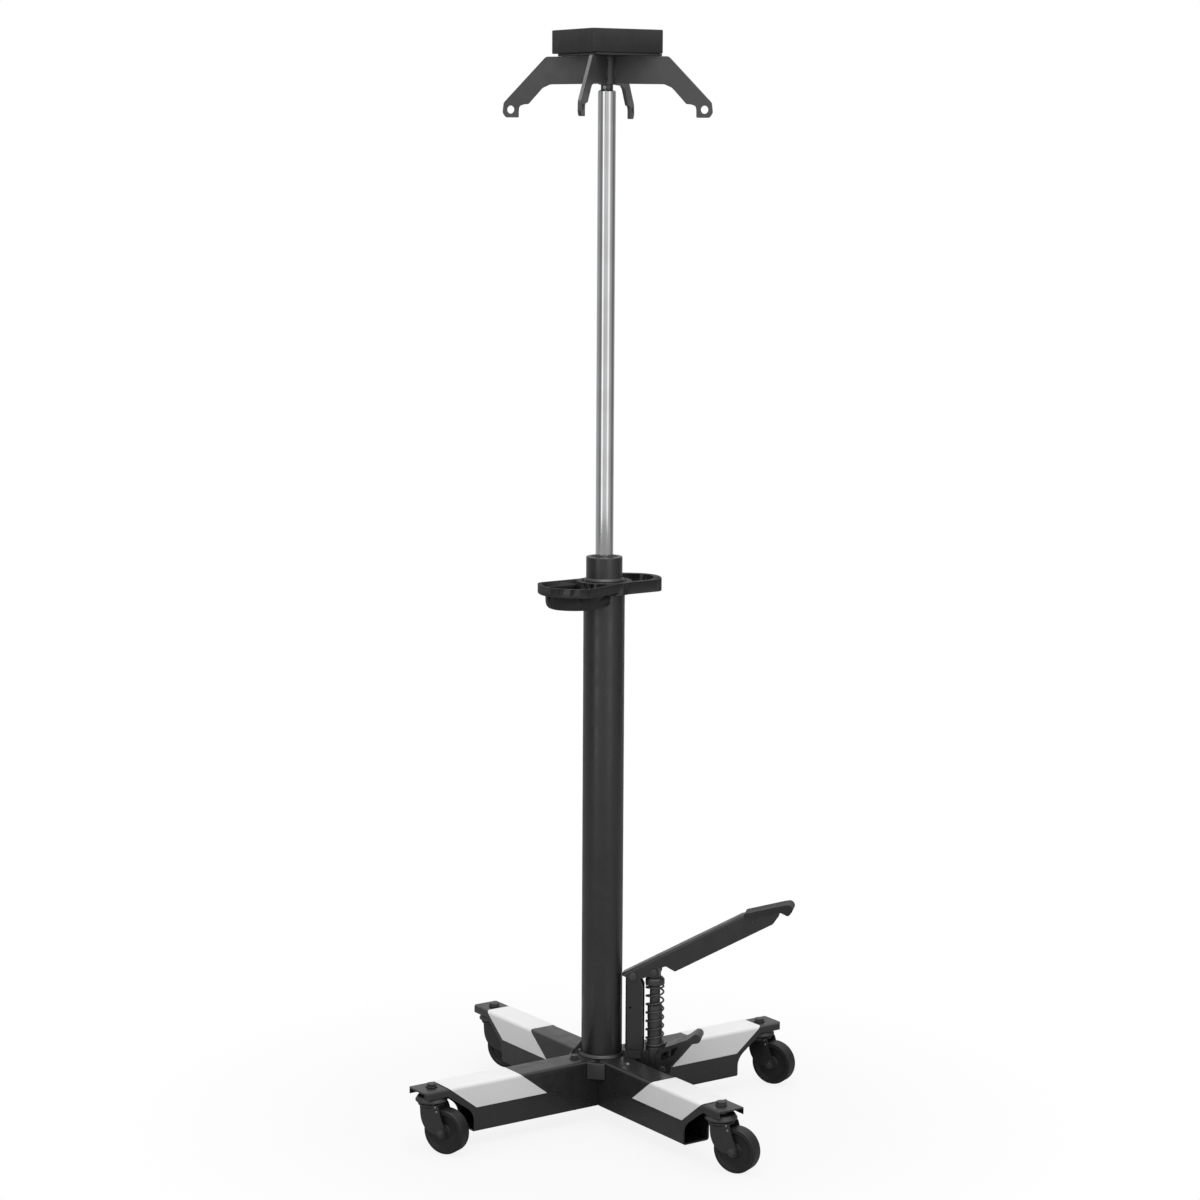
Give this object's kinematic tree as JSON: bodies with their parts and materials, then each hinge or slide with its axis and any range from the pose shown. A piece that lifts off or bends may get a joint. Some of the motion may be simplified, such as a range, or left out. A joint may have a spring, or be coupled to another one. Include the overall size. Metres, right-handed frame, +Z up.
{
  "type": "vertical hydraulic transmission jack",
  "caption": "Vertical telescopic hydraulic jack on a crossed, castered base, with a foot pump, a release pedal, a tool tray with handle and an armed saddle with a pad.",
  "frame": {"origin": "on the column's axis, at the flat underside of the crossed leg tubes; the wheels touch the floor 25.9 mm lower, at z = -0.0259 m", "axes": "+Z up along the ram, +X towards the foot pump and its pedal, +Y to the left when facing +X"},
  "size_m": [0.6449, 0.5928, 1.9536],
  "materials": {
    "black_paint": "satin black enamel",
    "dark_steel": "blackened steel",
    "bright_steel": "zinc plated",
    "chrome": "hard chrome, polished",
    "white_marking": "matte white film",
    "black_plastic": "fine moulded grain",
    "wheel_black": "matte moulded polymer",
    "black_rubber": "matte rubber"
  },
  "bodies": {
    "base": {"long_leg_beam": "black_paint", "short_leg_front_right": "black_paint", "short_leg_rear_left": "black_paint", "marking_sleeve_front_left": "white_marking", "marking_sleeve_front_right": "white_marking", "marking_sleeve_rear_right": "white_marking", "marking_sleeve_rear_left": "white_marking", "gusset_front": "black_paint", "gusset_rear": "black_paint", "gusset_left": "black_paint", "base_bolt_front_left": "dark_steel", "base_bolt_rear_right": "dark_steel", "caster_stem_front_left": "dark_steel", "caster_stem_front_right": "dark_steel", "caster_stem_rear_right": "dark_steel", "caster_stem_rear_left": "dark_steel", "column_tube": "black_paint", "column_foot_ring": "black_paint", "column_base_plug": "dark_steel", "pressure_tube": "dark_steel", "gland_nut": "black_paint", "ram_wiper_seal": "black_rubber", "tool_tray": "black_plastic", "pump_block": "black_paint", "pump_barrel": "dark_steel", "support_bracket": "black_paint", "return_spring": "dark_steel", "pedal_pivot_pin": "dark_steel", "release_pivot_pin": "dark_steel"},
    "ram": {"ram": "chrome", "ram_piston": "dark_steel", "piston_seal": "black_rubber"},
    "saddle": {"saddle_hub": "dark_steel", "saddle_arm_right": "black_paint", "saddle_arm_rear": "black_paint", "saddle_arm_left": "black_paint", "saddle_arm_front": "black_paint", "saddle_support_plate": "black_paint", "saddle_pad": "black_rubber", "saddle_set_screw": "bright_steel"},
    "pump_pedal": {"pump_pedal": "black_paint", "pedal_pad": "black_rubber"},
    "pump_rod": {"pump_rod": "dark_steel", "pump_rod_pin": "dark_steel", "spring_cap": "dark_steel"},
    "release_pedal": {"release_pedal": "black_paint"},
    "release_plunger": {"release_plunger": "dark_steel"},
    "caster_front_left": {"caster_fork_front_left": "black_paint", "caster_axle_front_left": "dark_steel"},
    "wheel_front_left": {"caster_wheel_front_left": "wheel_black"},
    "caster_front_right": {"caster_fork_front_right": "black_paint", "caster_axle_front_right": "dark_steel"},
    "wheel_front_right": {"caster_wheel_front_right": "wheel_black"},
    "caster_rear_right": {"caster_fork_rear_right": "black_paint", "caster_axle_rear_right": "dark_steel"},
    "wheel_rear_right": {"caster_wheel_rear_right": "wheel_black"},
    "caster_rear_left": {"caster_fork_rear_left": "black_paint", "caster_axle_rear_left": "dark_steel"},
    "wheel_rear_left": {"caster_wheel_rear_left": "wheel_black"}
  },
  "joints": [
    {"name": "ram_lift", "type": "slide", "parent": "base", "child": "ram", "axis": [0, 0, 1], "range_m": [-0.8, 0]},
    {"name": "saddle_turn", "type": "hinge", "parent": "ram", "child": "saddle", "pos_m": [0, 0, 1.8291], "axis": [0, 0, 1], "continuous": true},
    {"name": "pedal_swing", "type": "hinge", "parent": "base", "child": "pump_pedal", "pos_m": [0.06, 0, 0.2401], "axis": [0, 1, 0], "range_deg": [0, 26]},
    {"name": "pump_stroke", "type": "slide", "parent": "base", "child": "pump_rod", "axis": [0, 0, -1], "range_m": [0, 0.018], "deforming": ["return_spring"]},
    {"name": "release_swing", "type": "hinge", "parent": "base", "child": "release_pedal", "pos_m": [0.116, 0, 0.0701], "axis": [0, 1, 0], "range_deg": [0, 10]},
    {"name": "release_plunge", "type": "slide", "parent": "base", "child": "release_plunger", "axis": [0, 0, -1], "range_m": [0, 0.0014]},
    {"name": "swivel_front_left", "type": "hinge", "parent": "base", "child": "caster_front_left", "pos_m": [-0.25739, -0.25739, 0.0611], "axis": [0, 0, 1], "continuous": true},
    {"name": "roll_front_left", "type": "hinge", "parent": "caster_front_left", "child": "wheel_front_left", "pos_m": [-0.22741, -0.26859, 0.0141], "axis": [0.3502, 0.9367, 0], "continuous": true},
    {"name": "swivel_front_right", "type": "hinge", "parent": "base", "child": "caster_front_right", "pos_m": [0.25739, -0.25739, 0.0611], "axis": [0, 0, 1], "continuous": true},
    {"name": "roll_front_right", "type": "hinge", "parent": "caster_front_right", "child": "wheel_front_right", "pos_m": [0.28736, -0.26859, 0.0141], "axis": [0.3502, 0.9367, 0], "continuous": true},
    {"name": "swivel_rear_right", "type": "hinge", "parent": "base", "child": "caster_rear_right", "pos_m": [0.25739, 0.25739, 0.0611], "axis": [0, 0, 1], "continuous": true},
    {"name": "roll_rear_right", "type": "hinge", "parent": "caster_rear_right", "child": "wheel_rear_right", "pos_m": [0.28736, 0.24618, 0.0141], "axis": [0.3502, 0.9367, 0], "continuous": true},
    {"name": "swivel_rear_left", "type": "hinge", "parent": "base", "child": "caster_rear_left", "pos_m": [-0.25739, 0.25739, 0.0611], "axis": [0, 0, 1], "continuous": true},
    {"name": "roll_rear_left", "type": "hinge", "parent": "caster_rear_left", "child": "wheel_rear_left", "pos_m": [-0.22741, 0.24618, 0.0141], "axis": [0.3502, 0.9367, 0], "continuous": true}
  ],
  "couplings": [
    {"joint": "pump_stroke", "follows": "pedal_swing", "m_per_rad": 0.03872},
    {"joint": "release_plunge", "follows": "release_swing", "m_per_rad": 0.008}
  ]
}
